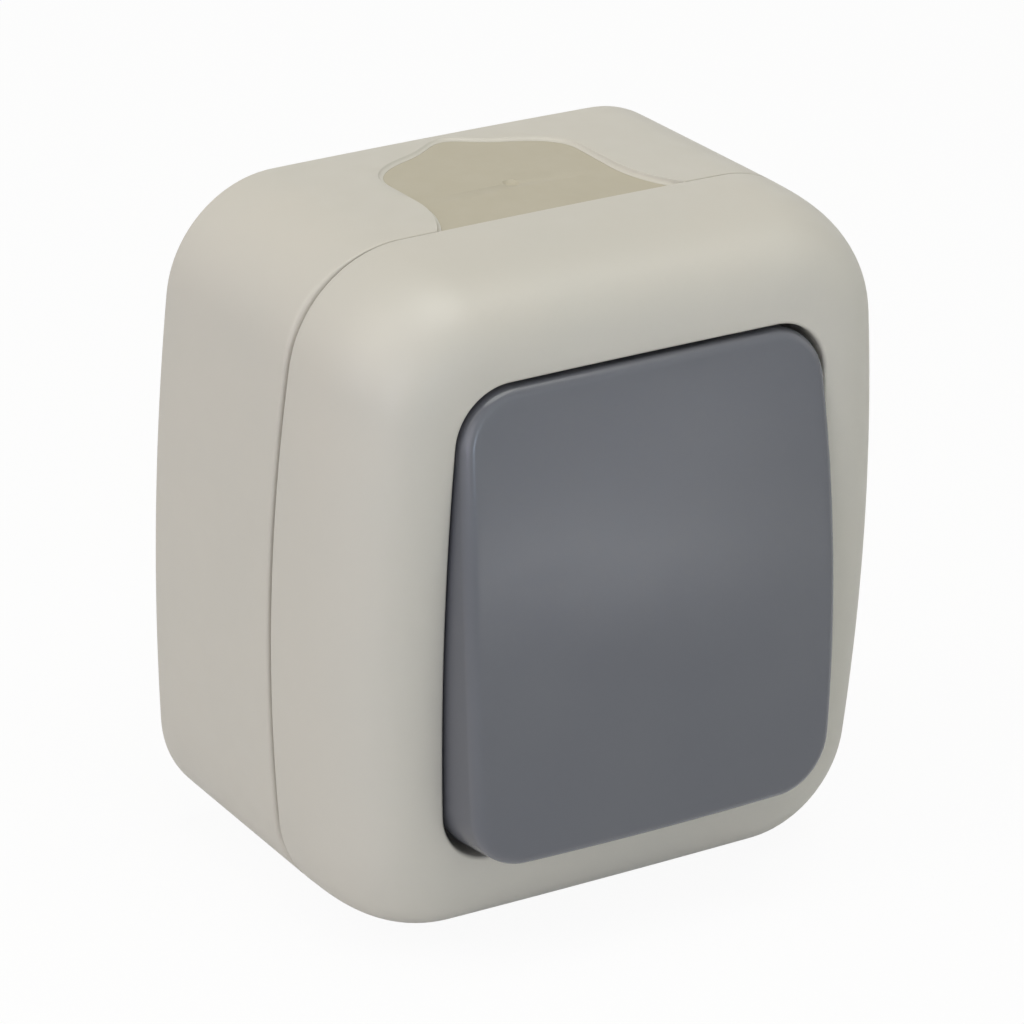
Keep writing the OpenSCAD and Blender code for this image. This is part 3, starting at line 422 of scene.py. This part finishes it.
def make_box():
    tongue_out = RIM_T + RIM_CLEAR
    inner = BOX_WALL
    # The joint is widest on the sides and nearly closed on the ends; its rim is roundest at the corners
    rim = box_loop(SEAM_D - SEAM_GAP, 0)
    along = np.roll(rim, -1, 0) - np.roll(rim, 1, 0)
    facing_side = np.abs(along[:, 1]) / np.linalg.norm(along, axis=1)
    side_share = np.clip(JOINT_RISE * facing_side - JOINT_START, 0, 1)[:, None]
    corner_share = (2 * facing_side * np.sqrt(1 - np.minimum(facing_side, 1) ** 2))[:, None]
    gap = mix(END_SEAM_GAP, SEAM_GAP, side_share)
    edge = RIM_EDGE + RIM_EDGE_SIDE * side_share + RIM_EDGE_CORNER * corner_share * side_share
    loops = [at(box_loop(0, BACK_EDGE), 0)]
    loops += [at(box_loop(0, BACK_EDGE * (1 - math.sin(t))), BACK_EDGE * (1 - math.cos(t)))
              for t in np.linspace(0.3, math.pi / 2, 5)]
    loops += [at(box_loop(d, 0), d) for d in np.linspace(2, SEAM_D - 2, 7)]
    for t in np.linspace(0, math.pi / 2, 7):
        # A share of the way from the outer rim to the tongue, and the depth that the rounding has there
        inwards = edge * (1 - math.cos(t)) / tongue_out
        depth = SEAM_D - gap[:, 0] - edge[:, 0] * (1 - math.sin(t))
        loops.append(at(mix(rim, box_loop(SEAM_D, tongue_out), inwards), depth))
    loops += [at(box_loop(SEAM_D, tongue_out), SEAM_D - gap[:, 0]),
              at(box_loop(SEAM_D, tongue_out), SEAM_D + TONGUE_H),
              at(box_loop(SEAM_D, inner), SEAM_D + TONGUE_H), at(box_loop(SEAM_D / 2, inner), SEAM_D / 2),
              at(box_loop(BACK_WALL + FLOOR_FILLET, inner), BACK_WALL + FLOOR_FILLET)]
    loops += [at(box_loop(BACK_WALL, inner + FLOOR_FILLET * (1 - math.cos(t))),
                 BACK_WALL + FLOOR_FILLET * (1 - math.sin(t))) for t in np.linspace(0, math.pi / 2, 5)[1:]]
    shell = loft("box_shell", loops)
    cutters = [entry_cutter(1), entry_cutter(-1)]
    cutters += [slot_cutter(s) for s in (-1, 1)]
    out_r, in_r = KNOCK_D / 2, KNOCK_D / 2 - KNOCK_GROOVE
    groove = [at(circle(r), d)
              for r, d in ((out_r, -1), (out_r, KNOCK_GROOVE), (in_r, KNOCK_GROOVE), (in_r, -1))]
    cutters.append(loft("groove", groove, closed=True))
    shell = cut(shell, cutters)

    # Posts for the cover screws, stands for the switch body, bosses round the slots and a seat for earth
    sunk, bore, post_r = BACK_WALL / 2, (SCREW_D + SCREW_BITE) / 2, POST_D / 2
    stand_top, boss_r = BASE_BACK_D - SEAT, (SLOT_LEN + SLOT_BOSS_RIM) / 2
    parts = [shell]
    for s in (-1, 1):
        post = [(post_r, sunk), (post_r, POST_TOP_D - POST_EDGE), (post_r - POST_EDGE, POST_TOP_D),
                (bore, POST_TOP_D), (bore, POST_TOP_D - COVER_SCREW_LEN)]
        parts.append(turned("post", post, -s * COVER_SCREW_X, s * COVER_SCREW_Y))
        stand = [(post_r, sunk), (post_r, stand_top), (bore, stand_top), (bore, BACK_WALL)]
        parts.append(turned("stand", stand, s * LUG_X))
        boss = [(boss_r, BACK_WALL - 0.3), (boss_r, BACK_WALL + SLOT_BOSS_H)]
        parts.append(cut(turned("boss", boss, 0, s * WALL_PITCH / 2), [slot_cutter(s, 0, BACK_WALL + 3)]))
    pocket = TERMINAL_S + 2 * SEAT
    seat_w = pocket + EARTH_RIM
    earth = block("earth_seat", seat_w, seat_w, sunk, EARTH_FLOOR_D + EARTH_POCKET, EARTH_X, EARTH_Y)
    hollow = block("pocket", pocket, pocket, EARTH_FLOOR_D, EARTH_FLOOR_D + 3, EARTH_X, EARTH_Y)
    parts.append(cut(earth, [hollow]))
    return joined("box", parts)


def make_seal(flip):
    end_d = SEAM_D - RIM_CLEAR
    foot = -ENTRY_SLOPE
    flange_top = BOX_WALL + RIM_CLEAR
    flange_back_d = BACK_WALL + FLOOR_FILLET + RIM_CLEAR
    # The face fills the entry, but leaves a small notch on either side where it meets the cover
    sides = []
    for loop in (entry_loop(0, 1, foot - SEAL_EDGE_IN, end_d), entry_loop(SEAL_EDGE_DOWN, 1, foot, end_d),
                 entry_loop(flange_top + FLANGE_T / 2, 0, foot, end_d)):
        near_seam = np.clip((loop[:, 2] - end_d + NOTCH_RUN) / NOTCH_RUN, 0, 1) ** 2
        loop[:, 0] -= np.sign(loop[:, 0]) * NOTCH * near_seam
        sides.append(loop * [1, flip, 1])
    body = loft("face", sides)
    flange = loft("flange", [p * [1, flip, 1] for p in (
        entry_loop(flange_top, 0, foot + FLANGE_W, end_d, flange_back_d),
        entry_loop(flange_top + FLANGE_T, 0, foot + FLANGE_W, end_d, flange_back_d))])
    low = HOUSING_H / 2 - flange_top - FLANGE_T
    high = HOUSING_H / 2 - RIM_T - 2 * RIM_CLEAR
    tab_d = end_d - TAB_T
    tab = block("tab", 2 * (entry_half(tab_d) + foot), high - low, tab_d, SEAM_D + TONGUE_H,
                0, flip * (low + high) / 2)
    w = DIMPLE_DEPTH / SEAM_D
    y = mix(BACK_H, HOUSING_H, w) / 2 - mix(RECESS_BACK, RECESS_SEAM, w)
    ring = circle(1.0, sides=40)
    dimple = []
    for share, h in DIMPLE_SECTION:
        r = share * DIMPLE_D / 2
        height = np.full(len(ring), flip * (y + h))
        dimple.append(np.column_stack([ring[:, 0] * r, height, DIMPLE_DEPTH + ring[:, 1] * r]))
    return joined("seal", [cut(body, [loft("dimple", dimple)]), flange, tab])


# Rocker: shell with a crowned face, ribs on the carrier and clips around its ends

def lift(loop):
    """Crown and dome of the face over its edge."""
    crown = ROCKER_CROWN * (1 - (2 * loop[:, 1] / ROCKER_H) ** 2)
    return crown + ROCKER_DOME * (1 - (2 * loop[:, 0] / ROCKER_W) ** 2)


def crowned(loop, depth):
    return at(loop, depth + lift(loop))


def make_rocker():
    rings = np.linspace(0.02, 0.97, 22)
    inner, inner_d = rocker_loop(ROCKER_WALL), ROCKER_EDGE_D - ROCKER_WALL
    face = rocker_loop(ROCKER_EDGE)
    loops = [crowned(inner * k, inner_d) for k in rings]
    loops += [crowned(inner, inner_d), at(inner, SKIRT_BACK_D), at(rocker_loop(0), SKIRT_BACK_D)]
    for t in np.linspace(0, math.pi / 2, 10):
        depth = ROCKER_EDGE_D - ROCKER_EDGE * (1 - math.sin(t))
        loops.append(crowned(rocker_loop(ROCKER_EDGE * (1 - math.cos(t))), depth))
    loops += [crowned(face * k, ROCKER_EDGE_D) for k in rings[::-1]]
    parts = [loft("shell", loops, tilted)]
    plate_back = PIVOT_D - CARRIER_T / 2
    plate_front, hook_d = plate_back + CARRIER_T + SEAT, plate_back - SEAT
    inside_d = ROCKER_EDGE_D - 0.7 * ROCKER_WALL + lift(np.array([[CLIP_X, 0.0]]))[0]
    for sx in (-1, 1):
        x = sx * CLIP_X
        parts.append(block("rib", RIB_T, CARRIER_H, plate_front, inside_d, x, 0, tilted))
        for sy in (-1, 1):
            y = sy * (CARRIER_H / 2 + SEAT + CLIP_T / 2)
            parts.append(block("clip", CLIP_W, CLIP_T, hook_d - HOOK_H, inside_d, x, y, tilted))
            parts.append(block("hook", CLIP_W, CLIP_T, hook_d - HOOK_H, hook_d, x, y - sy * CLIP_HOOK, tilted))
    return joined("rocker_cap", parts)


finished(make_cover(), "cover_shell", "housing", "housing", "front_cover")
finished(make_box(), "wall_box", "housing", "housing", "back_box")
finished(make_seal(1), "upper_seal", "housing", "entry_seal", "top_entry_seal")
finished(make_seal(-1), "lower_seal", "housing", "entry_seal", "bottom_entry_seal")
finished(make_rocker(), "rocker_cap", "rocker", "rocker", "rocker")

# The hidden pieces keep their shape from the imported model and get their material
for part in frame["record"]["subparts"]:
    node = frame["nodes"][part["node"]]
    if not node.material_slots:
        node.data.materials.append(None)
    for place in node.material_slots:
        place.material = MATERIALS[part["material_slot"]]


# Stage: a white floor that shows as plain white and keeps a faint shadow, and soft studio light

def white_mix(tree, shaded, camera_share, mirror_share):
    """Shows plain white for a share to the camera and to mirrors, and else the shaded surface."""
    path = add(tree, "LightPath")
    mirror = add(tree, "Math", {0: path.outputs["Is Glossy Ray"], 1: path.outputs["Is Transmission Ray"]},
                 operation="MAXIMUM")
    mirror = add(tree, "Math", {0: mirror.outputs[0]}, operation="MULTIPLY")
    mirror.inputs[1].default_value = mirror_share
    part = add(tree, "Math", {0: path.outputs["Is Camera Ray"], 2: mirror.outputs[0]},
               operation="MULTIPLY_ADD")
    part.inputs[1].default_value = camera_share
    white = add(tree, "Emission", Strength=1.0)
    both = tree.nodes.new("ShaderNodeMixShader")
    tree.links.new(part.outputs[0], both.inputs[0])
    tree.links.new(shaded, both.inputs[1])
    tree.links.new(white.outputs[0], both.inputs[2])
    return both.outputs[0]


FLOOR_Z, FLOOR_HALF = -HOUSING_H / 2 * MM, 3.0
# How much of its shadow the floor shows to the camera, and how much of it mirrors as plain white
SHADOW_SHARE, MIRROR_SHARE = 0.06, 0.3

floor_material = bpy.data.materials.new("floor")
floor_material.use_nodes = True
tree = floor_material.node_tree
tree.nodes.clear()
diffuse = add(tree, "BsdfDiffuse", Color=(0.9, 0.9, 0.9, 1))
floor_surface = white_mix(tree, diffuse.outputs[0], 1 - SHADOW_SHARE, MIRROR_SHARE)
add(tree, "OutputMaterial", {"Surface": floor_surface})
corners = [(x * FLOOR_HALF, y * FLOOR_HALF, FLOOR_Z) for x, y in ((-1, -1), (1, -1), (1, 1), (-1, 1))]
floor = mesh_object("floor", corners, [(0, 1, 2, 3)])
floor.data.materials.append(floor_material)

AMBIENT = (0.064, 0.064, 0.064)
world = bpy.data.worlds.new("studio")
bpy.context.scene.world = world
world.use_nodes = True
tree = world.node_tree
tree.nodes.clear()
ambient = add(tree, "Background", Color=(*AMBIENT, 1), Strength=1.0)
add(tree, "OutputWorld", {"Surface": white_mix(tree, ambient.outputs[0], 1.0, 1.0)})

# Softboxes: name, azimuth and elevation in degrees, distance and size in metres, power in watts per colour
LAMPS = [
    ("front", 5, 15, 1.2, 1.0, (0.60, 0.80, 0.80)),
    ("left", -95, 12, 1.1, 0.9, (1.12, 1.13, 1.40)),
    ("left_back", -140, 20, 1.1, 0.9, (0.16, 0.16, 0.16)),
    ("left_front", -50, 15, 1.1, 0.9, (2.58, 2.53, 2.68)),
    ("left_high", -100, 45, 1.1, 0.9, (3.05, 2.95, 2.62)),
    ("low_left", -50, 3, 1.1, 0.16, (0.18, 0.18, 0.32)),
    ("low_front", 0, 3, 1.1, 0.16, (0.40, 0.50, 0.66)),
    ("right", 75, 20, 1.2, 0.9, (0.32, 0.32, 0.32)),
    ("top", 20, 80, 1.1, 1.0, (7.62, 7.60, 7.10)),
]

# Spots over the floor in front of the object: azimuth, distance and radius of the pool, power in watts
POOLS = [(33, 0.20, 0.05, 32.0), (22, 0.25, 0.06, 48.0), (33, 0.40, 0.09, 18.0), (33, 0.65, 0.14, 46.0)]
POOL_HEIGHT, POOL_SOURCE_R = 0.5, 0.03


def direction(azimuth, elevation):
    """Towards a place round the object: azimuth 0 in front of it, 90 at its right."""
    a, e = math.radians(azimuth), math.radians(elevation)
    return Vector((math.sin(a) * math.cos(e), -math.cos(a) * math.cos(e), math.sin(e)))


CENTRE, FACE_FOOT = Vector((0, -0.022, 0)), Vector((0, -0.045, FLOOR_Z))
for name, azimuth, elevation, distance, size, watts in LAMPS:
    light = bpy.data.lights.new(name, "AREA")
    light.shape, light.size = "DISK", size
    light.energy = max(watts)
    light.color = [w / max(watts) for w in watts]
    lamp = linked(name, light)
    away = direction(azimuth, elevation)
    lamp.location = CENTRE + away * distance
    lamp.rotation_euler = away.to_track_quat("Z", "Y").to_euler()

for azimuth, distance, radius, power in POOLS:
    light = bpy.data.lights.new("pool", "SPOT")
    light.spot_size, light.spot_blend = 2 * math.atan(radius / POOL_HEIGHT), 1.0
    light.shadow_soft_size, light.energy = POOL_SOURCE_R, power
    lamp = linked("pool", light)
    lamp.location = FACE_FOOT + direction(azimuth, 0) * distance + Vector((0, 0, POOL_HEIGHT))

# Camera at the photograph's viewing angle, with its slight roll
CAMERA_AZIMUTH, CAMERA_ELEVATION, CAMERA_ROLL = -33.771, 23.936, 2.203
CAMERA_DISTANCE, CAMERA_TARGET = 0.61511, Vector((-0.005741, -0.026, 0.004381))
FOCAL_PX, FRAME_PX = 6101.4, 1024

camera = linked("camera", bpy.data.cameras.new("camera"))
camera.data.sensor_width = 36.0
camera.data.lens = FOCAL_PX / FRAME_PX * camera.data.sensor_width
camera.data.clip_start, camera.data.clip_end = 0.05, 20.0
back = direction(CAMERA_AZIMUTH, CAMERA_ELEVATION)
right = (-back).cross(Vector((0, 0, 1))).normalized()
up = right.cross(-back)
roll = math.radians(CAMERA_ROLL)
axis_x = right * math.cos(roll) + up * math.sin(roll)
axis_y = up * math.cos(roll) - right * math.sin(roll)
turn = Matrix((axis_x, axis_y, back)).transposed().to_4x4()
camera.matrix_world = Matrix.Translation(CAMERA_TARGET + back * CAMERA_DISTANCE) @ turn
bpy.context.scene.camera = camera
bpy.context.scene.view_settings.view_transform = "Standard"
